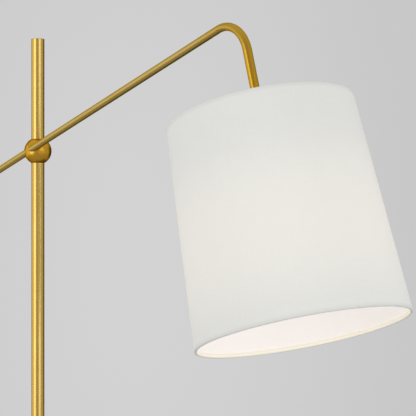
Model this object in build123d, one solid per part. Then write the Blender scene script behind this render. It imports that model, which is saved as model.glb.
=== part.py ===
from build123d import *
import math
import os

os.makedirs("parts", exist_ok=True)

# Fits shared by the whole lamp, in millimetres
running_gap = 0.05
seat_gap = 0.05
clear_gap = 0.35

# Base sizes
base_diameter = 300
base_height = 24
base_edge_round = 8
cover_wall = 1.5
cover_lift = 1
felt_thickness = 2
felt_inset = 8
nut_recess_diameter = 40
nut_recess_depth = 13
rod_diameter = 10
washer_diameter = 30
washer_thickness = 2
nut_across_flats = 17
nut_thickness = 8
rod_tail = 1.5

# Pole sizes
pole_diameter = 26
pole_wall = 1.5
pole_height = 1624.5
pole_split = 724
plug_length = 30
joiner_length = 80
joiner_bore = 12
cap_thickness = 1.6
cap_spigot = 8
cap_edge_round = 0.6

# Ball and its friction rings
ball_height = 1400
ball_skin = 0.4
arm_gap = 0.2
ring_wall = 2
ring_low = 9
ring_width = 9
ring_split = 3
relief_depth = 0.9
screw_diameter = 5
screw_socket = 2.5
screw_socket_depth = 2
pad_thickness = 1.5
pole_screw_length = 9
arm_screw_length = 4.5
arm_screw_back = 5

# Arm sizes
arm_diameter = 13.6
arm_wall = 1.2
arm_rise = 17
boom_length = 700
tail_length = 230
bend_angle = 90
bend_radius = 62
drop_diameter = 15.6
drop_length = 175.3
tube_below_rim = 27.7
gland_nose = 8
gland_nose_round = 2
gland_spigot = 12
cord_hole_diameter = 6.4
spigot_hole_diameter = 8
lead_diameter = 5.6
lead_start = 6

# Socket sizes
nipple_diameter = 10
nipple_bore = 6.8
nipple_up = 15
nipple_down = 14
insert_length = 18
spider_washer_diameter = 32
spider_washer_thickness = 3.4
cap_height = 24
socket_cap_diameter = 43
cap_shoulder_round = 9
socket_wall = 0.9
lock_nut_across_flats = 15
lock_nut_thickness = 3
shell_overlap = 10
shell_length = 56
core_top = 30
core_length = 48
cavity_depth = 34
screw_shell_wall = 0.7
contact_diameter = 10
contact_thickness = 0.8
bulb_base_diameter = 26.4
bulb_base_wall = 0.8
bulb_base_length = 26
bulb_base_out = 1
insulator_height = 4
insulator_diameter = 18
bulb_tip_diameter = 9
bulb_diameter = 60
bulb_drop = 62
bulb_neck = 8
glass_wall = 0.8
knob_height = 6
knob_stem_diameter = 4.8
knob_stem_depth = 8
knob_diameter = 13
knob_length = 15
knob_standoff = 4
knob_edge_round = 1.2

# Shade sizes
shade_top_diameter = 310
shade_bottom_diameter = 350
shade_length = 364.7
fabric_thickness = 0.7
liner_thickness = 0.7
shade_wire_diameter = 3
spoke_diameter = 2.6
spoke_count = 3
hem_height = 4.5

# Radii and positions worked out from the sizes above
base_radius = base_diameter / 2
rod_radius = rod_diameter / 2
rod_hole = rod_radius + seat_gap
pole_radius = pole_diameter / 2
pole_inner = pole_radius - pole_wall
arm_radius = arm_diameter / 2
drop_radius = drop_diameter / 2
arm_offset = pole_radius + arm_gap + arm_radius
ball_radius = arm_offset + arm_radius + running_gap + ball_skin
ring_radius = pole_radius + running_gap + ring_wall
rise = math.radians(arm_rise)
fall = math.radians(arm_rise - bend_angle)
along = Vector(math.cos(rise), 0, math.sin(rise))
across = Vector(-math.sin(rise), 0, math.cos(rise))
down = Vector(math.cos(fall), 0, math.sin(fall))
arm_middle = Vector(0, -arm_offset, ball_height)
tangent = bend_radius * math.tan(math.radians(bend_angle) / 2)
vertex = arm_middle + along * boom_length
bend_start = vertex - along * tangent
bend_end = vertex + down * tangent
bend_centre = bend_start - across * bend_radius
bend_middle = bend_centre + (vertex - bend_centre).normalized() * bend_radius
shade_top = vertex + down * drop_length
head = Plane(origin=shade_top, x_dir=Vector(-down.Z, 0, down.X), z_dir=-down)


def rod(radius, low, high):
    cylinder = Cylinder(radius, high - low, align=(Align.CENTER, Align.CENTER, Align.MIN))
    return Pos(0, 0, low) * cylinder


def ring(outer, inner, low, high):
    return rod(outer, low, high) - rod(inner, low - 1, high + 1)


def hexagon(across_flats, low, high):
    outline = RegularPolygon(across_flats / math.sqrt(3), 6)
    return Pos(0, 0, low) * extrude(outline, high - low)


def turned(*points):
    outline = make_face(Polyline(*points, close=True))
    return revolve(Plane.XZ * outline, Axis.Z)


pieces = {}

# Felt under the base, the face the lamp stands on
pieces["base_felt"] = rod(base_radius - felt_inset, 0, felt_thickness)

# Cast weight with a recess below for the nut
weight_low = felt_thickness + seat_gap
weight_high = base_height - cover_wall - seat_gap
recess_high = weight_low + nut_recess_depth
weight = rod(base_radius - cover_wall - seat_gap, weight_low, weight_high)
weight = fillet(weight.edges().group_by(Axis.Z)[-1], base_edge_round - cover_wall)
weight -= rod(nut_recess_diameter / 2, weight_low - 1, recess_high)
weight -= rod(rod_hole, weight_low, weight_high + 1)
pieces["base_weight"] = weight

# Spun cover over the weight
cover = rod(base_radius, cover_lift, base_height)
cover = fillet(cover.edges().group_by(Axis.Z)[-1], base_edge_round)
hollow = rod(base_radius - cover_wall, cover_lift - base_edge_round, base_height - cover_wall)
hollow = fillet(hollow.edges().group_by(Axis.Z)[-1], base_edge_round - cover_wall)
cover -= hollow
cover -= rod(rod_hole, 0, base_height + 1)
pieces["base_cover"] = cover

# Rod, washer and nut that pull the pole down on the base
washer_high = recess_high - seat_gap
nut_high = washer_high - washer_thickness - seat_gap
nut_low = nut_high - nut_thickness
pieces["base_washer"] = ring(washer_diameter / 2, rod_hole, washer_high - washer_thickness, washer_high)
pieces["base_nut"] = hexagon(nut_across_flats, nut_low, nut_high) - rod(rod_hole, nut_low - 1, nut_high + 1)
pieces["base_rod"] = rod(rod_radius, nut_low - rod_tail, base_height + plug_length)

# Pole in two lengths, with its foot plug, inner joiner and top cap
pole_low = base_height + seat_gap
cap_low = pole_height - cap_thickness
inner_fit = pole_inner - seat_gap
joiner_low = pole_split - joiner_length / 2
joiner_high = pole_split + joiner_length / 2
pieces["pole_plug"] = ring(inner_fit, rod_hole, pole_low, pole_low + plug_length)
pieces["pole_lower"] = ring(pole_radius, pole_inner, pole_low, pole_split)
pieces["pole_joiner"] = ring(inner_fit, joiner_bore / 2, joiner_low, joiner_high)
pieces["pole_upper"] = ring(pole_radius, pole_inner, pole_split + seat_gap, cap_low - seat_gap)
cap_top = rod(pole_radius, cap_low, pole_height)
cap_top = fillet(cap_top.edges().group_by(Axis.Z)[-1], cap_edge_round)
pieces["pole_cap"] = cap_top + rod(inner_fit, cap_low - cap_spigot, cap_low)

# Two split friction rings that grip the pole inside the ball
ring_high = ring_low + ring_width
slot = Pos(0, ring_radius, 0) * Box(ring_split, 2 * ring_radius, 4 * ring_high)
upper_ring = ring(ring_radius, pole_radius + running_gap, ring_low, ring_high) - slot
lower_ring = ring(ring_radius, pole_radius + running_gap, -ring_high, -ring_low) - slot
at_ball = Pos(0, 0, ball_height)
pieces["pole_rings"] = Compound([at_ball * upper_ring, at_ball * lower_ring])

# Ball with the pole bore, two ring grooves and the inclined arm bore
boom_frame = Plane(origin=arm_middle, z_dir=along)
pole_screw_frame = Plane(origin=(0, 0, ball_height), z_dir=(0, 1, 0))
arm_screw_frame = Plane(origin=arm_middle - along * arm_screw_back, z_dir=across)
screw_radius = screw_diameter / 2
pole_bore = pole_radius + running_gap
groove = ring_radius + running_gap
ball = Sphere(ball_radius)
ball -= rod(pole_bore, -ball_radius, ball_radius)
ball -= rod(pole_bore + relief_depth, -ring_low, ring_low)
ball -= rod(groove, ring_low - running_gap, ring_high + running_gap)
ball -= rod(groove, -ring_high - running_gap, -ring_low + running_gap)
ball = at_ball * ball
ball -= boom_frame * rod(arm_radius + running_gap, -2 * ball_radius, 2 * ball_radius)
ball -= pole_screw_frame * rod(screw_radius + seat_gap, pole_radius, 2 * ball_radius)
ball -= arm_screw_frame * rod(screw_radius + seat_gap, arm_radius, 2 * ball_radius)
pieces["ball"] = ball


def set_screw(low, length):
    body = rod(screw_radius, low, low + length)
    return body - hexagon(screw_socket, low + length - screw_socket_depth, low + length + 1)


# Set screws and nylon pads that lock the ball on the pole and the arm in the ball
pole_pad_low = pole_radius + clear_gap
arm_pad_low = arm_radius + clear_gap
pole_screw_low = pole_pad_low + pad_thickness + seat_gap
arm_screw_low = arm_pad_low + pad_thickness + seat_gap
pieces["pole_pad"] = pole_screw_frame * rod(screw_radius, pole_pad_low, pole_pad_low + pad_thickness)
pieces["pole_screw"] = pole_screw_frame * set_screw(pole_screw_low, pole_screw_length)
pieces["arm_pad"] = arm_screw_frame * rod(screw_radius, arm_pad_low, arm_pad_low + pad_thickness)
pieces["arm_screw"] = arm_screw_frame * set_screw(arm_screw_low, arm_screw_length)

# Arm, one bent tube whose end opens out slightly through the bend
bend_arc = ThreePointArc(bend_start, bend_middle, bend_end)
start_frame = Plane(origin=bend_start, z_dir=along)
end_frame = Plane(origin=bend_end, z_dir=down)


def bent_rod(boom_radius, end_radius, start, drop_end):
    boom = boom_frame * rod(boom_radius, start, boom_length - tangent)
    sections = [start_frame * Circle(boom_radius), end_frame * Circle(end_radius)]
    bend = sweep(sections, path=bend_arc, multisection=True)
    drop = end_frame * rod(end_radius, 0, drop_end - tangent)
    return boom + bend + drop


tube_end = drop_length + tube_below_rim
arm_inner = arm_radius - arm_wall
drop_inner = drop_radius - arm_wall
tube = bent_rod(arm_radius, drop_radius, -tail_length, tube_end)
tube -= bent_rod(arm_inner, drop_inner, -tail_length - 1, tube_end + 1)
pieces["arm_tube"] = tube

# Cord gland on the tail, with a narrow hole in its nose and a wider one in the spigot
nose_low = -tail_length - gland_nose
nose_high = -tail_length - seat_gap
spigot_high = -tail_length + gland_spigot
gland = rod(arm_radius, nose_low, nose_high)
gland = fillet(gland.edges().group_by(Axis.Z)[0], gland_nose_round)
gland += rod(arm_inner - seat_gap, nose_high, spigot_high)
gland -= rod(cord_hole_diameter / 2, nose_low - 1, nose_high)
gland -= rod(spigot_hole_diameter / 2, nose_high, spigot_high + 1)
pieces["tail_bushing"] = boom_frame * gland

# Lead that the tube holds all the way to the socket
lead_radius = lead_diameter / 2
lead_low = spigot_high + lead_start
lead_end = tube_end + spider_washer_thickness + core_top - 2
pieces["arm_lead"] = bent_rod(lead_radius, lead_radius, lead_low, lead_end)

# Threaded insert and nipple at the end of the drop, in the frame of the shade's top rim
rim_end = -tube_below_rim
nipple_radius = nipple_diameter / 2
nipple_hole = nipple_radius + seat_gap
pieces["drop_insert"] = head * ring(drop_inner - seat_gap, nipple_hole, rim_end, rim_end + insert_length)
nipple = ring(nipple_radius, nipple_bore / 2, rim_end - nipple_down, rim_end + nipple_up)
pieces["drop_nipple"] = head * nipple

# Socket cap, lock nut, shell and insulating core
spider_high = rim_end - seat_gap
spider_low = spider_high - spider_washer_thickness
cap_roof = spider_low - seat_gap
cap_rim = cap_roof - cap_height
cap_radius = socket_cap_diameter / 2
cap_inner = cap_radius - socket_wall
dome = rod(cap_radius, cap_rim, cap_roof)
dome = fillet(dome.edges().group_by(Axis.Z)[-1], cap_shoulder_round)
dome_hollow = rod(cap_inner, cap_rim - cap_shoulder_round, cap_roof - socket_wall)
dome_hollow = fillet(dome_hollow.edges().group_by(Axis.Z)[-1], cap_shoulder_round - socket_wall)
dome -= dome_hollow
dome -= rod(nipple_hole, cap_rim, cap_roof + 1)
pieces["socket_cap"] = head * dome
lock_high = cap_roof - socket_wall - seat_gap
lock_low = lock_high - lock_nut_thickness
lock_nut = hexagon(lock_nut_across_flats, lock_low, lock_high)
lock_nut -= rod(nipple_hole, lock_low - 1, lock_high + 1)
pieces["socket_nut"] = head * lock_nut
shell_radius = cap_inner - seat_gap
shell_inner = shell_radius - socket_wall
shell_high = cap_rim + shell_overlap
shell_low = shell_high - shell_length
core_radius = shell_inner - seat_gap
core_high = cap_roof - core_top
core_low = core_high - core_length
cavity_high = core_low + cavity_depth
knob_level = core_high - knob_height
knob_frame = Plane(origin=(0, 0, knob_level), z_dir=(0, 1, 0))
knob_radius = knob_stem_diameter / 2
shell = ring(shell_radius, shell_inner, shell_low, shell_high)
shell -= knob_frame * rod(knob_radius + clear_gap, 0, 2 * shell_radius)
pieces["socket_shell"] = head * shell
screw_outer = bulb_base_diameter / 2 + seat_gap + screw_shell_wall
core = rod(core_radius, core_low, core_high) - rod(screw_outer + seat_gap, core_low - 1, cavity_high)
stem_low = core_radius - knob_stem_depth
core -= knob_frame * rod(knob_radius + running_gap, stem_low - running_gap, 2 * shell_radius)
pieces["socket_core"] = head * core
contact_high = cavity_high - seat_gap
screw_shell = ring(screw_outer, screw_outer - screw_shell_wall, core_low, contact_high)
pieces["screw_shell"] = head * screw_shell
pieces["centre_contact"] = head * rod(contact_diameter / 2, contact_high - contact_thickness, contact_high)

# Turn knob of the socket switch
knob_low = cap_radius + knob_standoff
grip = rod(knob_diameter / 2, knob_low, knob_low + knob_length)
grip = fillet(grip.edges().group_by(Axis.Z)[-1], knob_edge_round)
pieces["switch_knob"] = head * (knob_frame * (grip + rod(knob_radius, stem_low, knob_low)))

# Bulb with its screw base, insulator and glass
bulb_rim = core_low - bulb_base_out
bulb_base_radius = bulb_base_diameter / 2
bulb_base_high = bulb_rim + bulb_base_length
base_hollow = bulb_base_radius - bulb_base_wall
cup = rod(bulb_base_radius, bulb_rim, bulb_base_high)
cup -= rod(base_hollow, bulb_rim - 1, bulb_base_high - bulb_base_wall)
pieces["bulb_base"] = head * cup
tip_low = bulb_base_high + seat_gap
tip_high = tip_low + insulator_height
tip_foot = (insulator_diameter / 2, tip_low)
tip_head = (bulb_tip_diameter / 2, tip_high)
tip = turned((0, tip_low), tip_foot, tip_head, (0, tip_high))
pieces["bulb_insulator"] = head * tip
globe_level = bulb_rim - bulb_drop


def bulb_body(inset, neck_high):
    globe_radius = bulb_diameter / 2 - inset
    neck_radius = base_hollow - seat_gap - inset
    neck_low = bulb_rim
    reach = neck_low - globe_level
    span = math.hypot(neck_radius, reach)
    turn = math.atan2(neck_radius, reach) + math.acos(globe_radius / span)
    touch = Vector(globe_radius * math.sin(turn), globe_level + globe_radius * math.cos(turn))
    half = (turn + math.pi) / 2
    side = Vector(globe_radius * math.sin(half), globe_level + globe_radius * math.cos(half))
    bottom = Vector(0, globe_level - globe_radius)
    flank = Polyline((0, neck_high), (neck_radius, neck_high), (neck_radius, neck_low), touch)
    outline = flank + ThreePointArc(touch, side, bottom) + Line(bottom, (0, neck_high))
    return revolve(Plane.XZ * make_face(outline), Axis.Z)


neck_top = bulb_rim + bulb_neck
pieces["bulb_glass"] = head * (bulb_body(0, neck_top) - bulb_body(glass_wall, neck_top + 1))


# Shade radius at a level below its top rim, measured on the outer face of the fabric
shade_spread = (shade_bottom_diameter - shade_top_diameter) / 2


def shade_radius(level):
    return shade_top_diameter / 2 - shade_spread * level / shade_length


# Wire rings that the fabric is rolled round, one in each edge of the shade
slant = math.atan2(shade_spread, shade_length)
wire_radius = shade_wire_diameter / 2
pocket = wire_radius + seat_gap
roll_radius = pocket + fabric_thickness
top_wire_level = -roll_radius
bottom_wire_level = roll_radius - shade_length
top_wire_radius = shade_radius(top_wire_level) - roll_radius / math.cos(slant)
bottom_wire_radius = shade_radius(bottom_wire_level) - roll_radius / math.cos(slant)
wire_span = (top_wire_level - bottom_wire_level) / math.cos(slant)
wall_place = Pos((top_wire_radius + bottom_wire_radius) / 2, (top_wire_level + bottom_wire_level) / 2)
wall_frame = wall_place * Rot(0, 0, math.degrees(slant))


def spun_wall(outline):
    return head * revolve(Plane.XZ * (wall_frame * outline), Axis.Z)


pieces["shade_top_ring"] = head * (Pos(0, 0, top_wire_level) * Torus(top_wire_radius, wire_radius))
pieces["shade_bottom_ring"] = head * (Pos(0, 0, bottom_wire_level) * Torus(bottom_wire_radius, wire_radius))

# Spider: a washer clamped over the socket, with spokes that are welded to the top wire
washer_level = (spider_low + spider_high) / 2
spoke_foot = spider_washer_diameter / 2 - spoke_diameter / 2
spoke_run = Vector(top_wire_radius - spoke_foot, 0, top_wire_level - washer_level)
spoke_frame = Plane(origin=(spoke_foot, 0, washer_level), z_dir=spoke_run)
spoke = spoke_frame * rod(spoke_diameter / 2, 0, spoke_run.length - pocket)
spoke_way = spoke_frame * rod(spoke_diameter / 2 + clear_gap, 0, spoke_run.length)
spoke_turns = [Rot(0, 0, 60 + 360 / spoke_count * index) for index in range(spoke_count)]
spider = ring(spider_washer_diameter / 2, nipple_hole, spider_low, spider_high)
for spoke_turn in spoke_turns:
    spider += spoke_turn * spoke
pieces["shade_spider"] = head * spider

# Fabric rolled in round both wires and slit where the spokes pass
rolled = SlotCenterToCenter(wire_span, 2 * roll_radius, rotation=90)
rolled -= SlotCenterToCenter(wire_span, 2 * pocket, rotation=90)
rolled -= Pos(-roll_radius, 0) * Rectangle(2 * roll_radius, wire_span - 2 * hem_height)
fabric = spun_wall(rolled)
for spoke_turn in spoke_turns:
    fabric -= head * (spoke_turn * spoke_way)
pieces["shade_fabric"] = fabric

# Stiff liner behind the fabric, from wire to wire
liner = Rectangle(liner_thickness, wire_span - 2 * pocket)
pieces["shade_liner"] = spun_wall(Pos(wire_radius - liner_thickness / 2, 0) * liner)

for name, piece in pieces.items():
    export_step(piece, "parts/" + name + ".step")
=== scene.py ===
import bmesh
import bpy
import math
from mathutils import Matrix, Vector


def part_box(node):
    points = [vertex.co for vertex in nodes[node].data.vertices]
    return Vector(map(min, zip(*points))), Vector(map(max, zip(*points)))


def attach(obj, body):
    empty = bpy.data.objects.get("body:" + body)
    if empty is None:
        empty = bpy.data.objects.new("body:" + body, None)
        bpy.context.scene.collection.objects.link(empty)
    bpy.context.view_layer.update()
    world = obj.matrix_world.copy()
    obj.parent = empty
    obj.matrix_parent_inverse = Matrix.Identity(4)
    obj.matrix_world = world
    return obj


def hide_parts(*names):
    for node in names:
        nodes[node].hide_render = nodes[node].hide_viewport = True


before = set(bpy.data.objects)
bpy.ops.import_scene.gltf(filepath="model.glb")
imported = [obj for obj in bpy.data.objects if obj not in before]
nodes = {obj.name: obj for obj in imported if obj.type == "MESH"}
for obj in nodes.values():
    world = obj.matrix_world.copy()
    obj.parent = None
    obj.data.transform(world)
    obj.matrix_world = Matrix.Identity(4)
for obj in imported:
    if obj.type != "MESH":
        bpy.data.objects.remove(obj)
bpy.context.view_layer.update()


# Base: a heavy cast disc under a spun brass cover, standing on a felt pad.
# The cover is lacquered and satin brushed in rings, as it turned on the lathe.


def hex_colour(code):
    channels = [int(code[i : i + 2], 16) / 255 for i in (1, 3, 5)]
    linear = [c / 12.92 if c <= 0.04045 else ((c + 0.055) / 1.055) ** 2.4 for c in channels]
    return (*linear, 1.0)


def add_node(material, kind, values=None, **settings):
    node = material.node_tree.nodes.new(kind)
    for name, value in settings.items():
        setattr(node, name, value)
    for socket, value in (values or {}).items():
        if isinstance(value, bpy.types.NodeSocket):
            material.node_tree.links.new(value, node.inputs[socket])
        else:
            node.inputs[socket].default_value = value
    return node


def new_material(name):
    material = bpy.data.materials.new(name)
    material.use_nodes = True
    return material, material.node_tree.nodes["Principled BSDF"]


def dress(piece, *materials):
    piece.data.materials.clear()
    for material in materials:
        piece.data.materials.append(material)
    piece.data.shade_smooth()


def brushed_brass(name, grain, light="#CEAF60", deep="#C4A34C", satin=0.25, edge="#B47A08"):
    # Satin brass, yellow in the light and turning to the edge tint where it is seen at a slant.
    # Grain is the spacing of the brush lines in metres along X, Y and Z; lines of 0.4 mm are
    # drawn 1 mm wide. Light and deep are the two tones of its faint clouds, satin its roughness.
    satin_spread = 0.05
    line_depth = 0.0004
    material, surface = new_material(name)
    place = add_node(material, "ShaderNodeTexCoord")
    stretch = add_node(
        material,
        "ShaderNodeMapping",
        {"Vector": place.outputs["Object"], "Scale": [1 / g for g in grain]},
    )
    lines = add_node(
        material,
        "ShaderNodeTexNoise",
        {"Vector": stretch.outputs["Vector"], "Scale": 1.0, "Detail": 3.0, "Roughness": 0.6},
    )
    cloud = add_node(
        material,
        "ShaderNodeTexNoise",
        {"Vector": place.outputs["Object"], "Scale": 14.0, "Detail": 2.0},
    )
    tone = add_node(
        material,
        "ShaderNodeMix",
        {"Factor": cloud.outputs["Fac"], "A": hex_colour(light), "B": hex_colour(deep)},
        data_type="RGBA",
    )
    gloss = add_node(
        material,
        "ShaderNodeMapRange",
        {
            "Value": lines.outputs["Fac"],
            "To Min": satin - satin_spread,
            "To Max": satin + satin_spread,
        },
    )
    bump = add_node(
        material,
        "ShaderNodeBump",
        {"Height": lines.outputs["Fac"], "Strength": 0.015, "Distance": line_depth},
    )
    links = material.node_tree.links
    links.new(tone.outputs["Result"], surface.inputs["Base Color"])
    links.new(gloss.outputs["Result"], surface.inputs["Roughness"])
    links.new(bump.outputs["Normal"], surface.inputs["Normal"])
    surface.inputs["Metallic"].default_value = 1.0
    surface.inputs["Specular Tint"].default_value = hex_colour(edge)
    return material


cover_brass = brushed_brass("satin brass, spun", (0.05, 0.05, 0.0011), edge="#EAD29A")
dress(nodes["base_cover"], cover_brass)

cast_iron, iron_surface = new_material("cast iron, black paint")
# A rough sand-cast skin under thin black paint, hardly shiny.
iron_place = add_node(cast_iron, "ShaderNodeTexCoord")
iron_grit = add_node(
    cast_iron,
    "ShaderNodeTexNoise",
    {"Vector": iron_place.outputs["Object"], "Scale": 900.0, "Detail": 4.0},
)
iron_bump = add_node(
    cast_iron,
    "ShaderNodeBump",
    {"Height": iron_grit.outputs["Fac"], "Strength": 0.3, "Distance": 0.0006},
)
cast_iron.node_tree.links.new(iron_bump.outputs["Normal"], iron_surface.inputs["Normal"])
iron_surface.inputs["Base Color"].default_value = hex_colour("#2B2B2D")
iron_surface.inputs["Roughness"].default_value = 0.75
dress(nodes["base_weight"], cast_iron)

zinc_steel, steel_surface = new_material("zinc plated steel")
# Pale grey metal, half bright, with the dull clouds that plating leaves.
steel_place = add_node(zinc_steel, "ShaderNodeTexCoord")
steel_cloud = add_node(
    zinc_steel,
    "ShaderNodeTexNoise",
    {"Vector": steel_place.outputs["Object"], "Scale": 260.0, "Detail": 3.0},
)
steel_gloss = add_node(
    zinc_steel,
    "ShaderNodeMapRange",
    {"Value": steel_cloud.outputs["Fac"], "To Min": 0.28, "To Max": 0.5},
)
zinc_steel.node_tree.links.new(steel_gloss.outputs["Result"], steel_surface.inputs["Roughness"])
steel_surface.inputs["Base Color"].default_value = hex_colour("#C6C8CA")
steel_surface.inputs["Metallic"].default_value = 1.0
for fixing in (
    "base_washer",
    "base_nut",
    "base_rod",
    "pole_plug",
    "pole_joiner",
    "pole_screw",
    "arm_screw",
):
    dress(nodes[fixing], zinc_steel)

felt_low, felt_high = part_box("base_felt")
felt_radius = felt_high.x
felt_thickness = felt_high.z - felt_low.z
felt_rounding = 0.0006
felt_sides = 96
felt_mesh = bmesh.new()
bmesh.ops.create_circle(felt_mesh, cap_ends=True, segments=felt_sides, radius=felt_radius)
felt_top = bmesh.ops.extrude_face_region(felt_mesh, geom=felt_mesh.faces[:])
bmesh.ops.translate(
    felt_mesh,
    verts=[v for v in felt_top["geom"] if isinstance(v, bmesh.types.BMVert)],
    vec=(0, 0, felt_thickness),
)
felt_rims = [e for e in felt_mesh.edges if e.calc_face_angle(0) > 1]
bmesh.ops.bevel(
    felt_mesh,
    geom=felt_rims,
    offset=felt_rounding,
    segments=2,
    profile=0.5,
    affect="EDGES",
    material=-1,
)
bmesh.ops.recalc_face_normals(felt_mesh, faces=felt_mesh.faces[:])
felt_data = bpy.data.meshes.new("felt_pad")
felt_mesh.to_mesh(felt_data)
felt_mesh.free()
felt_pad = bpy.data.objects.new("felt_pad", felt_data)
bpy.context.scene.collection.objects.link(felt_pad)
felt, felt_surface = new_material("pressed wool felt")
# Dark grey fibres pressed flat, quite matt, with a faint fuzz at the edge.
felt_place = add_node(felt, "ShaderNodeTexCoord")
felt_fibre = add_node(
    felt,
    "ShaderNodeTexNoise",
    {"Vector": felt_place.outputs["Object"], "Scale": 700.0, "Detail": 6.0, "Roughness": 0.7},
)
felt_tone = add_node(
    felt,
    "ShaderNodeMix",
    {"Factor": felt_fibre.outputs["Fac"], "A": hex_colour("#2A2A2A"), "B": hex_colour("#4A4A4A")},
    data_type="RGBA",
)
felt_bump = add_node(
    felt,
    "ShaderNodeBump",
    {"Height": felt_fibre.outputs["Fac"], "Strength": 0.6, "Distance": 0.0008},
)
felt.node_tree.links.new(felt_tone.outputs["Result"], felt_surface.inputs["Base Color"])
felt.node_tree.links.new(felt_bump.outputs["Normal"], felt_surface.inputs["Normal"])
felt_surface.inputs["Roughness"].default_value = 0.95
felt_surface.inputs["Sheen Weight"].default_value = 0.3
dress(felt_pad, felt)
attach(felt_pad, "stand")
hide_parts("base_felt")


# Pole: two lengths of drawn brass tube, joined inside and closed by a flat cap.
# It is satin brushed along its length and lacquered.

pole_brass = brushed_brass(
    "satin brass, brushed along the tube", (0.0011, 0.0011, 0.08), "#D8B86B", "#CEAB55"
)
for tube in ("pole_lower", "pole_upper", "pole_cap"):
    dress(nodes[tube], pole_brass)


# Ball: a turned brass ball that slides and turns on the pole over two nylon rings.
# The arm runs beside the pole through its own slanted bore; set screws lock both.

ball_brass = brushed_brass(
    "satin brass, turned", (0.04, 0.04, 0.0012), "#DEAE44", "#CE982C", satin=0.30, edge="#845206"
)
dress(nodes["ball"], ball_brass)

nylon, nylon_surface = new_material("natural nylon")
# Milky off-white plastic with a soft shine.
nylon_place = add_node(nylon, "ShaderNodeTexCoord")
nylon_cloud = add_node(
    nylon,
    "ShaderNodeTexNoise",
    {"Vector": nylon_place.outputs["Object"], "Scale": 180.0, "Detail": 2.0},
)
nylon_tone = add_node(
    nylon,
    "ShaderNodeMix",
    {"Factor": nylon_cloud.outputs["Fac"], "A": hex_colour("#DCD8CC"), "B": hex_colour("#E6E3D9")},
    data_type="RGBA",
)
nylon.node_tree.links.new(nylon_tone.outputs["Result"], nylon_surface.inputs["Base Color"])
nylon_surface.inputs["Roughness"].default_value = 0.5
for glide in ("pole_rings", "pole_pad", "arm_pad"):
    dress(nodes[glide], nylon)


# Arm: one bent brass tube with a cord gland in its tail and the lead inside it.
# The brush lines follow the boom, so the grain is long along X and fine across it.

arm_brass = brushed_brass(
    "satin brass, brushed boom",
    (0.06, 0.0011, 0.0011),
    "#CBB06A",
    "#C1A356",
    satin=0.31,
    edge="#DCC27A",
)
# The base colour turns a deeper gold round the bend and down the drop than along the boom; it
# changes between these two distances out from the pole.
boom_end = 0.54
drop_start = 0.71
arm_place = add_node(arm_brass, "ShaderNodeTexCoord")
arm_along = add_node(arm_brass, "ShaderNodeSeparateXYZ", {"Vector": arm_place.outputs["Object"]})
arm_turn = add_node(
    arm_brass,
    "ShaderNodeMapRange",
    {"Value": arm_along.outputs["X"], "From Min": boom_end, "From Max": drop_start},
)
arm_surface = arm_brass.node_tree.nodes["Principled BSDF"]
arm_tone = add_node(
    arm_brass,
    "ShaderNodeMix",
    {
        "Factor": arm_turn.outputs["Result"],
        "A": arm_surface.inputs["Base Color"].links[0].from_socket,
        "B": hex_colour("#BE9328"),
    },
    data_type="RGBA",
)
arm_brass.node_tree.links.new(arm_tone.outputs["Result"], arm_surface.inputs["Base Color"])
dress(nodes["arm_tube"], arm_brass)

black_phenolic, phenolic_surface = new_material("black phenolic, moulded")
# Near-black plastic, half glossy, with a fine moulded grain.
phenolic_place = add_node(black_phenolic, "ShaderNodeTexCoord")
phenolic_grain = add_node(
    black_phenolic,
    "ShaderNodeTexNoise",
    {"Vector": phenolic_place.outputs["Object"], "Scale": 800.0, "Detail": 3.0},
)
phenolic_bump = add_node(
    black_phenolic,
    "ShaderNodeBump",
    {"Height": phenolic_grain.outputs["Fac"], "Strength": 0.15, "Distance": 0.0003},
)
black_phenolic.node_tree.links.new(
    phenolic_bump.outputs["Normal"], phenolic_surface.inputs["Normal"]
)
phenolic_surface.inputs["Base Color"].default_value = hex_colour("#1C1B1A")
phenolic_surface.inputs["Roughness"].default_value = 0.42
for moulded in ("tail_bushing", "socket_core", "switch_knob", "bulb_insulator"):
    dress(nodes[moulded], black_phenolic)

lead_sheath, sheath_surface = new_material("vinyl sheath")
# Smooth pale gold plastic, a little uneven in its shine.
sheath_place = add_node(lead_sheath, "ShaderNodeTexCoord")
sheath_cloud = add_node(
    lead_sheath,
    "ShaderNodeTexNoise",
    {"Vector": sheath_place.outputs["Object"], "Scale": 90.0, "Detail": 2.0},
)
sheath_gloss = add_node(
    lead_sheath,
    "ShaderNodeMapRange",
    {"Value": sheath_cloud.outputs["Fac"], "To Min": 0.35, "To Max": 0.5},
)
lead_sheath.node_tree.links.new(
    sheath_gloss.outputs["Result"], sheath_surface.inputs["Roughness"]
)
sheath_surface.inputs["Base Color"].default_value = hex_colour("#C4B08A")
dress(nodes["arm_lead"], lead_sheath)


# Socket: brass cap and shell screwed to the arm by a nipple, with a phenolic core,
# an aluminium screw shell and a turn knob for the switch.

socket_brass = brushed_brass("satin brass, socket", (0.03, 0.03, 0.001))
for cup in ("socket_cap", "socket_shell", "centre_contact"):
    dress(nodes[cup], socket_brass)
for thread in ("drop_insert", "drop_nipple", "socket_nut"):
    dress(nodes[thread], zinc_steel)

aluminium, aluminium_surface = new_material("aluminium, rolled thread")
# Pale silver sheet, clouded where it was rolled into shape.
aluminium_place = add_node(aluminium, "ShaderNodeTexCoord")
aluminium_cloud = add_node(
    aluminium,
    "ShaderNodeTexNoise",
    {"Vector": aluminium_place.outputs["Object"], "Scale": 300.0, "Detail": 2.0},
)
aluminium_gloss = add_node(
    aluminium,
    "ShaderNodeMapRange",
    {"Value": aluminium_cloud.outputs["Fac"], "To Min": 0.25, "To Max": 0.42},
)
aluminium.node_tree.links.new(
    aluminium_gloss.outputs["Result"], aluminium_surface.inputs["Roughness"]
)
aluminium_surface.inputs["Base Color"].default_value = hex_colour("#D9D9D8")
aluminium_surface.inputs["Metallic"].default_value = 1.0
for screw in ("screw_shell", "bulb_base"):
    dress(nodes[screw], aluminium)


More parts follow.
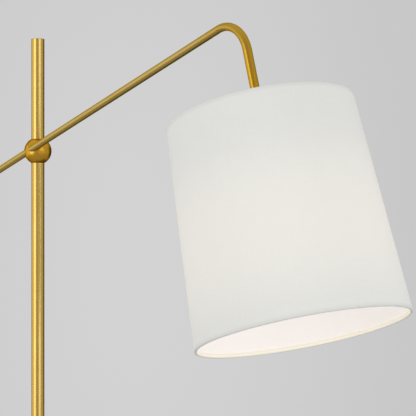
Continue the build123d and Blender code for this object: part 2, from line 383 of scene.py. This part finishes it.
# Bulb: a blown glass bulb, frosted inside, screwed into the socket by its aluminium base
# and alight.

frosted_glass, glass_surface = new_material("frosted glass, lit")
# Milky glass with a soft shine, glowing an even warm white.
glass_place = add_node(frosted_glass, "ShaderNodeTexCoord")
glass_cloud = add_node(
    frosted_glass,
    "ShaderNodeTexNoise",
    {"Vector": glass_place.outputs["Object"], "Scale": 60.0, "Detail": 2.0},
)
glass_glow = add_node(
    frosted_glass,
    "ShaderNodeMix",
    {"Factor": glass_cloud.outputs["Fac"], "A": hex_colour("#FFF1DC"), "B": hex_colour("#FFF6E8")},
    data_type="RGBA",
)
frosted_glass.node_tree.links.new(
    glass_glow.outputs["Result"], glass_surface.inputs["Emission Color"]
)
glass_surface.inputs["Base Color"].default_value = hex_colour("#DAD4C8")
glass_surface.inputs["Emission Strength"].default_value = 0.6
glass_surface.inputs["Roughness"].default_value = 0.35
dress(nodes["bulb_glass"], frosted_glass)


# Shade: a tapered drum of fine white linen glued on a stiff styrene liner, rolled into a cone
# with one lap seam at the back. At each edge the linen is rolled round a wire ring and tucked
# in; three spokes from the socket are welded to the top ring through slits in the hem.

top_radius = 0.155
bottom_radius = 0.175
wire_radius = 0.0015
cloth = 0.0007
backing = 0.0007
lap_cloth = 0.0003
lap_width = 0.010
slack = 0.00005
roll = wire_radius + slack + cloth
top_wire = sum(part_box("shade_top_ring"), Vector()) / 2
bottom_wire = sum(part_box("shade_bottom_ring"), Vector()) / 2
shade_axis = (top_wire - bottom_wire).normalized()
drum_length = (top_wire - bottom_wire).length + 2 * roll
shade_place = Matrix.Translation(top_wire + roll * shade_axis) @ Matrix.Rotation(
    math.atan2(shade_axis.x, shade_axis.z), 4, "Y"
)
slant = math.atan2(bottom_radius - top_radius, drum_length)
wall_length = (drum_length - 2 * roll) / math.cos(slant)
wall_radius = (top_radius + bottom_radius) / 2 - roll / math.cos(slant)
hem = 0.0045
edge_step = 0.001
bend_step = 0.004
fold_share = 0.96
slit_turn = 0.01
lap_angle = math.radians(141)
lap_rounds = 10
rounds = 180


def wall_point(out, up):
    # A point beside the drum's wall: out from the line between the two wires, and up along it.
    return (
        wall_radius + out * math.cos(slant) - up * math.sin(slant),
        out * math.sin(slant) + up * math.cos(slant) - drum_length / 2,
    )


def rolled_piece(name, profile, sweep, steps, thickness, fold=0.0, slits=()):
    # Spins a line of points about the shade's axis, as the sheet is rolled, rounds its folds,
    # lays a UV map in metres on it (round the drum, then down it) and puts it on the lamp.
    mesh = bmesh.new()
    start = Matrix.Rotation(lap_angle, 3, "Z")
    points = [mesh.verts.new(start @ Vector((r, 0, z))) for r, z in profile]
    line = [mesh.edges.new(pair) for pair in zip(points, points[1:])]
    bmesh.ops.spin(
        mesh,
        geom=points + line,
        cent=(0, 0, 0),
        axis=(0, 0, 1),
        angle=sweep,
        steps=steps,
        use_merge=sweep == math.tau,
    )
    if fold:
        creases = [e for e in mesh.edges if e.is_manifold and e.calc_face_angle(0) > 1]
        bmesh.ops.bevel(
            mesh, geom=creases, offset=fold, segments=6, profile=0.5, affect="EDGES", material=-1
        )
    hem_radius = wall_point(-edge_step, wall_length / 2 - hem)[0]
    for spoke in slits:
        way = Vector((math.cos(spoke), math.sin(spoke)))
        slit = [
            f
            for f in mesh.faces
            if f.calc_center_median().xy.length < hem_radius
            and f.calc_center_median().xy.angle(way) < slit_turn
        ]
        bmesh.ops.delete(mesh, geom=slit, context="FACES")
    bmesh.ops.recalc_face_normals(mesh, faces=mesh.faces[:])
    cloth_map = mesh.loops.layers.uv.new("cloth")
    for face in mesh.faces:
        centre = face.calc_center_median()
        face_turn = math.atan2(centre.y, centre.x)
        for loop in face.loops:
            x, y, z = loop.vert.co
            turn = face_turn + math.remainder(math.atan2(y, x) - face_turn, math.tau)
            loop[cloth_map].uv = (turn * wall_radius, z)
    bmesh.ops.transform(mesh, matrix=shade_place, verts=mesh.verts[:])
    data = bpy.data.meshes.new(name)
    mesh.to_mesh(data)
    mesh.free()
    piece = bpy.data.objects.new(name, data)
    bpy.context.scene.collection.objects.link(piece)
    wall = piece.modifiers.new("thickness", "SOLIDIFY")
    wall.thickness = thickness
    wall.offset = 0.0
    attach(piece, "arm")
    return piece


middle = roll - cloth / 2
half_wall = wall_length / 2
cloth_profile = [
    wall_point(-middle, hem - half_wall),
    wall_point(-middle, -half_wall - middle),
    wall_point(middle, -half_wall - middle),
    wall_point(middle, bend_step - half_wall),
    wall_point(middle, 0),
    wall_point(middle, half_wall - bend_step),
    wall_point(middle, half_wall + middle),
    wall_point(-middle, half_wall + middle),
    wall_point(-middle, half_wall - hem),
]
spokes = [math.radians(60 + 120 * i) for i in range(3)]
shade_linen = rolled_piece(
    "shade_linen",
    cloth_profile,
    math.tau,
    rounds,
    cloth,
    fold=fold_share * middle,
    slits=spokes,
)
lap_end = half_wall - edge_step
lap_levels = (lap_end, lap_end - edge_step, edge_step - lap_end, -lap_end)
lap_profile = [wall_point(roll + slack + lap_cloth / 2, up) for up in lap_levels]
lap_turn = lap_width / bottom_radius
shade_lap = rolled_piece("shade_lap", lap_profile, lap_turn, lap_rounds, lap_cloth)
liner_end = half_wall - wire_radius - slack
liner_levels = (liner_end, liner_end - edge_step, edge_step - liner_end, -liner_end)
liner_profile = [wall_point(wire_radius - backing / 2, up) for up in liner_levels]
shade_backing = rolled_piece("shade_backing", liner_profile, math.tau, rounds, backing)

white_linen, linen_surface = new_material("white linen, laminated")
# Fine plain linen, matt and very even: threads 0.4 mm apart are drawn as faint streaks 1.5 mm
# wide both ways, since they are too fine to show. The bulb's light through one layer is painted
# on as a glow, a soft warm patch of emission; the doubled hems get no painted glow but a painted
# shade instead.
linen_cloth = add_node(white_linen, "ShaderNodeUVMap", uv_map="cloth")
thread_width = 0.0015
thread_run = 0.03
threads = []
for across, down in ((thread_width, thread_run), (thread_run, thread_width)):
    stretched = add_node(
        white_linen,
        "ShaderNodeMapping",
        {"Vector": linen_cloth.outputs["UV"], "Scale": (1 / across, 1 / down, 1)},
    )
    streaks = add_node(
        white_linen,
        "ShaderNodeTexNoise",
        {"Vector": stretched.outputs["Vector"], "Scale": 1.0, "Detail": 1.0},
    )
    threads.append(streaks.outputs["Fac"])
weave = add_node(white_linen, "ShaderNodeMath", {0: threads[0], 1: threads[1]}, operation="ADD")
weave_tone = add_node(
    white_linen,
    "ShaderNodeMapRange",
    {"Value": weave.outputs["Value"], "From Min": 0.6, "From Max": 1.4},
)
linen_tone = add_node(
    white_linen,
    "ShaderNodeMix",
    {
        "Factor": weave_tone.outputs["Result"],
        "A": hex_colour("#EDEEEB"),
        "B": hex_colour("#F1F2EF"),
    },
    data_type="RGBA",
)
linen_level = add_node(white_linen, "ShaderNodeSeparateXYZ", {"Vector": linen_cloth.outputs["UV"]})
linen_middle = add_node(
    white_linen,
    "ShaderNodeMath",
    {0: linen_level.outputs["Y"], 1: drum_length / 2},
    operation="ADD",
)
linen_reach = add_node(
    white_linen, "ShaderNodeMath", {0: linen_middle.outputs["Value"]}, operation="ABSOLUTE"
)
# Painted shade at the doubled hems: near each edge the linen turns a greyer colour (#E9E9E5) and
# its painted glow fades out.
outside_painted_hem_shade = add_node(
    white_linen,
    "ShaderNodeMapRange",
    {
        "Value": linen_reach.outputs["Value"],
        "From Min": drum_length / 2 - 2 * hem,
        "From Max": drum_length / 2 - edge_step,
        "To Min": 1.0,
        "To Max": 0.0,
    },
    interpolation_type="SMOOTHSTEP",
)
linen_with_painted_hem_shade = add_node(
    white_linen,
    "ShaderNodeMix",
    {
        "Factor": outside_painted_hem_shade.outputs["Result"],
        "A": hex_colour("#E9E9E5"),
        "B": linen_tone.outputs["Result"],
    },
    data_type="RGBA",
)
linen_bump = add_node(
    white_linen,
    "ShaderNodeBump",
    {"Height": weave.outputs["Value"], "Strength": 0.05, "Distance": 0.0003},
)
# Painted glow: an emission on the linen, strongest near a point below the bulb and fading away
# from it, stands in for the bulb's light coming through the cloth.
glow_level = 0.61
glow_near, glow_far = 0.155, 0.235
glow_full, glow_least = 0.118, 0.024
glow_centre = shade_place @ Vector((0, 0, -glow_level * drum_length))
linen_place = add_node(white_linen, "ShaderNodeTexCoord")
linen_away = add_node(
    white_linen,
    "ShaderNodeVectorMath",
    {0: linen_place.outputs["Object"], 1: glow_centre},
    operation="DISTANCE",
)
linen_glow = add_node(
    white_linen,
    "ShaderNodeMapRange",
    {
        "Value": linen_away.outputs["Value"],
        "From Min": glow_near,
        "From Max": glow_far,
        "To Min": glow_full,
        "To Max": glow_least,
    },
    interpolation_type="SMOOTHSTEP",
)
linen_lit = add_node(
    white_linen,
    "ShaderNodeMath",
    {0: linen_glow.outputs["Result"], 1: outside_painted_hem_shade.outputs["Result"]},
    operation="MULTIPLY",
)
links = white_linen.node_tree.links
links.new(linen_with_painted_hem_shade.outputs["Result"], linen_surface.inputs["Base Color"])
links.new(linen_bump.outputs["Normal"], linen_surface.inputs["Normal"])
links.new(linen_lit.outputs["Value"], linen_surface.inputs["Emission Strength"])
linen_surface.inputs["Emission Color"].default_value = hex_colour("#FFE3B4")
linen_surface.inputs["Roughness"].default_value = 0.9
linen_surface.inputs["Specular IOR Level"].default_value = 0.2
linen_surface.inputs["Sheen Weight"].default_value = 0.05
hem_linen_painted_glow = white_linen.copy()
# The turned-in hem is the same linen, seen on the bulb's side; its warmer colour and its emission
# are a painted glow of the bulb's light on it.
hem_linen_painted_glow.name = "white linen, hem with painted bulb glow"
hem_surface = hem_linen_painted_glow.node_tree.nodes["Principled BSDF"]
for lit in ("Base Color", "Emission Strength"):
    hem_linen_painted_glow.node_tree.links.remove(hem_surface.inputs[lit].links[0])
hem_surface.inputs["Base Color"].default_value = hex_colour("#ECE7DA")
hem_surface.inputs["Emission Color"].default_value = hex_colour("#FFFAE2")
hem_surface.inputs["Emission Strength"].default_value = 0.25
dress(shade_linen, white_linen, hem_linen_painted_glow)
dress(shade_lap, white_linen)
for face in shade_linen.data.polygons:
    spot = shade_place.inverted() @ face.center
    wire_line = wall_radius - (spot.z + drum_length / 2) * math.tan(slant)
    face.material_index = int(spot.xy.length < wire_line - wire_radius)

styrene, styrene_surface = new_material("white styrene sheet, painted bulb glow")
# Smooth matt white plastic; its emission is a painted glow, standing in for the light of the bulb
# that it surrounds.
styrene_place = add_node(styrene, "ShaderNodeTexCoord")
styrene_cloud = add_node(
    styrene,
    "ShaderNodeTexNoise",
    {"Vector": styrene_place.outputs["Object"], "Scale": 25.0, "Detail": 2.0},
)
styrene_tone = add_node(
    styrene,
    "ShaderNodeMix",
    {
        "Factor": styrene_cloud.outputs["Fac"],
        "A": hex_colour("#EBE6E3"),
        "B": hex_colour("#EEEAE8"),
    },
    data_type="RGBA",
)
styrene.node_tree.links.new(styrene_tone.outputs["Result"], styrene_surface.inputs["Base Color"])
styrene_surface.inputs["Emission Color"].default_value = hex_colour("#FFFDF9")
styrene_surface.inputs["Emission Strength"].default_value = 0.245
styrene_surface.inputs["Roughness"].default_value = 0.6
dress(shade_backing, styrene)

white_enamel, enamel_surface = new_material("white enamel on wire")
# Smooth white coating, a little glossy and uneven where it was dipped.
enamel_place = add_node(white_enamel, "ShaderNodeTexCoord")
enamel_cloud = add_node(
    white_enamel,
    "ShaderNodeTexNoise",
    {"Vector": enamel_place.outputs["Object"], "Scale": 200.0, "Detail": 2.0},
)
enamel_gloss = add_node(
    white_enamel,
    "ShaderNodeMapRange",
    {"Value": enamel_cloud.outputs["Fac"], "To Min": 0.3, "To Max": 0.45},
)
white_enamel.node_tree.links.new(
    enamel_gloss.outputs["Result"], enamel_surface.inputs["Roughness"]
)
enamel_surface.inputs["Base Color"].default_value = hex_colour("#E8E7E3")
for wire in ("shade_top_ring", "shade_bottom_ring", "shade_spider"):
    dress(nodes[wire], white_enamel)

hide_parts("shade_fabric")
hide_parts("shade_liner")


# Studio: a pale floor that fades into a plain grey backdrop, a little dimmer behind the camera.
# Two large soft lamps stand left and right of the camera; a strip lamp at the far left and two
# dark cards are only there for the brass to mirror, and light nothing else.

view_turn = math.radians(52.19)
towards = Vector((-math.sin(view_turn), math.cos(view_turn), 0))
sideways = Vector((math.cos(view_turn), math.sin(view_turn), 0))

floor_radius = 5.0
fade_start, fade_end = 1.6, 4.8
floor_mesh = bmesh.new()
bmesh.ops.create_circle(floor_mesh, cap_ends=True, segments=128, radius=floor_radius)
floor_data = bpy.data.meshes.new("floor")
floor_mesh.to_mesh(floor_data)
floor_mesh.free()
floor = bpy.data.objects.new("floor", floor_data)
bpy.context.scene.collection.objects.link(floor)
pale_floor, floor_surface = new_material("pale painted floor")
# Plain matt grey that fades out into the backdrop some metres away.
floor_place = add_node(pale_floor, "ShaderNodeTexCoord")
floor_reach = add_node(
    pale_floor,
    "ShaderNodeVectorMath",
    {0: floor_place.outputs["Object"]},
    operation="LENGTH",
)
floor_fade = add_node(
    pale_floor,
    "ShaderNodeMapRange",
    {
        "Value": floor_reach.outputs["Value"],
        "From Min": fade_start,
        "From Max": fade_end,
        "To Min": 1.0,
        "To Max": 0.0,
    },
    interpolation_type="SMOOTHSTEP",
)
pale_floor.node_tree.links.new(floor_fade.outputs["Result"], floor_surface.inputs["Alpha"])
floor_surface.inputs["Base Color"].default_value = hex_colour("#C0C0BF")
floor_surface.inputs["Roughness"].default_value = 0.8
floor_surface.inputs["Specular IOR Level"].default_value = 0.0
dress(floor, pale_floor)

world = bpy.data.worlds.new("grey backdrop")
bpy.context.scene.world = world
world.use_nodes = True
sky = world.node_tree.nodes["Background"]
sky_place = add_node(world, "ShaderNodeTexCoord")
# The backdrop is brightest in an upright oval behind the lamp, a little left and low of centre.
squash = Vector((1, 1, 0.5))
aim_left, aim_low = 0.047, 0.04
oval_reach = 0.174
oval_fall = 1.6
backdrop_aim = (towards - aim_left * sideways - Vector((0, 0, aim_low))) * squash
sky_flat = add_node(
    world,
    "ShaderNodeVectorMath",
    {0: sky_place.outputs["Generated"], 1: squash},
    operation="MULTIPLY",
)
sky_turn = add_node(
    world,
    "ShaderNodeVectorMath",
    {0: sky_flat.outputs["Vector"], 1: backdrop_aim},
    operation="DISTANCE",
)
sky_reach = add_node(
    world,
    "ShaderNodeMapRange",
    {"Value": sky_turn.outputs["Value"], "From Min": 0.0, "From Max": oval_reach},
)
sky_fall = add_node(
    world,
    "ShaderNodeMath",
    {0: sky_reach.outputs["Result"], 1: oval_fall},
    operation="POWER",
)
sky_near = add_node(
    world,
    "ShaderNodeMix",
    {
        "Factor": sky_fall.outputs["Value"],
        "A": hex_colour("#D3D3D3"),
        "B": hex_colour("#C8C8C8"),
    },
    data_type="RGBA",
)
sky_height = add_node(world, "ShaderNodeSeparateXYZ", {"Vector": sky_place.outputs["Generated"]})
sky_rise = add_node(
    world,
    "ShaderNodeMapRange",
    {"Value": sky_height.outputs["Z"], "From Min": 0.2, "From Max": 0.9},
)
sky_grey = add_node(
    world,
    "ShaderNodeMix",
    {
        "Factor": sky_rise.outputs["Result"],
        "A": sky_near.outputs["Result"],
        "B": hex_colour("#E6E6E6"),
    },
    data_type="RGBA",
)
sky_behind = add_node(
    world,
    "ShaderNodeVectorMath",
    {0: sky_place.outputs["Generated"], 1: -towards},
    operation="DOT_PRODUCT",
)
sky_dim = add_node(
    world,
    "ShaderNodeMapRange",
    {"Value": sky_behind.outputs["Value"], "From Min": 0.1, "From Max": 0.8},
)
sky_round = add_node(
    world,
    "ShaderNodeMix",
    {
        "Factor": sky_dim.outputs["Result"],
        "A": sky_grey.outputs["Result"],
        "B": hex_colour("#BCBCBC"),
    },
    data_type="RGBA",
)
world.node_tree.links.new(sky_round.outputs["Result"], sky.inputs["Color"])
sky.inputs["Strength"].default_value = 1.0

lamp_target = Vector((0.35, 0.0, 1.45))
lamp_distance = 2.8
for lamp_name, lamp_turn, lamp_width, lamp_height, lamp_power in (
    ("soft_lamp_left", -54, 1.6, 2.4, 20.8),
    ("soft_lamp_right", 38, 1.8, 2.6, 17.2),
    ("strip_lamp_far_left", -100, 3.2, 2.4, 10.0),
):
    lamp_data = bpy.data.lights.new(lamp_name, "AREA")
    lamp_data.shape = "RECTANGLE"
    lamp_data.size = lamp_width
    lamp_data.size_y = lamp_height
    lamp_data.energy = lamp_power
    lamp = bpy.data.objects.new(lamp_name, lamp_data)
    bpy.context.scene.collection.objects.link(lamp)
    swing = math.radians(lamp_turn)
    way = -towards * math.cos(swing) + sideways * math.sin(swing)
    lamp.location = lamp_target + lamp_distance * way
    lamp.rotation_mode = "QUATERNION"
    lamp.rotation_quaternion = (-way).to_track_quat("-Z", "Y")
    lamp.visible_camera = False
    lamp.visible_diffuse = lamp_name != "strip_lamp_far_left"

dark_card, card_surface = new_material("dark card")
# Matt grey card, seen only as a dark line in the brass.
card_surface.inputs["Base Color"].default_value = hex_colour("#585858")
card_surface.inputs["Roughness"].default_value = 0.9
card_turn = math.radians(40)
card_way = towards * math.cos(card_turn) + sideways * math.sin(card_turn)
upright_distance, upright_level = 2.0, 1.3
upright = Matrix.Translation(upright_distance * card_way + Vector((0, 0, upright_level)))
upright @= (-card_way).to_track_quat("Z", "Y").to_matrix().to_4x4()
lying_behind, lying_right, lying_level = 1.33, 0.4, 0.004
lying = Matrix.Translation(
    lying_behind * towards + lying_right * sideways + Vector((0, 0, lying_level))
)
lying @= Matrix.Rotation(view_turn, 4, "Z")
for card_name, card_width, card_height, card_place in (
    ("dark_card_right", 1.9, 1.5, upright),
    ("dark_card_floor", 1.4, 2.35, lying),
):
    card_mesh = bmesh.new()
    bmesh.ops.create_grid(card_mesh, x_segments=1, y_segments=1, size=0.5)
    bmesh.ops.scale(card_mesh, verts=card_mesh.verts[:], vec=(card_width, card_height, 1.0))
    bmesh.ops.transform(card_mesh, verts=card_mesh.verts[:], matrix=card_place)
    card_data = bpy.data.meshes.new(card_name)
    card_mesh.to_mesh(card_data)
    card_mesh.free()
    card = bpy.data.objects.new(card_name, card_data)
    bpy.context.scene.collection.objects.link(card)
    dress(card, dark_card)
    card.visible_camera = False
    card.visible_diffuse = False
    card.visible_shadow = False


# Camera: level, on a long lens, at the angle the lamp is seen from in the photograph; its place
# is given from the middle of the ball.

film_width = 36.0
picture_width = 416.0
lens_in_pixels = 1548.0
camera_data = bpy.data.cameras.new("camera")
camera_data.sensor_width = film_width
camera_data.lens = lens_in_pixels / picture_width * film_width
camera = bpy.data.objects.new("camera", camera_data)
bpy.context.scene.collection.objects.link(camera)
ball_centre = Vector((0, 0, 1.4))
camera_right, camera_back, camera_low = 0.3409, 3.1023, 0.1142
camera.location = ball_centre + camera_right * sideways - camera_back * towards
camera.location.z -= camera_low
camera.rotation_euler = (math.pi / 2, 0, view_turn)
camera_data.clip_end = 200.0
bpy.context.scene.camera = camera
bpy.context.scene.view_settings.view_transform = "Standard"
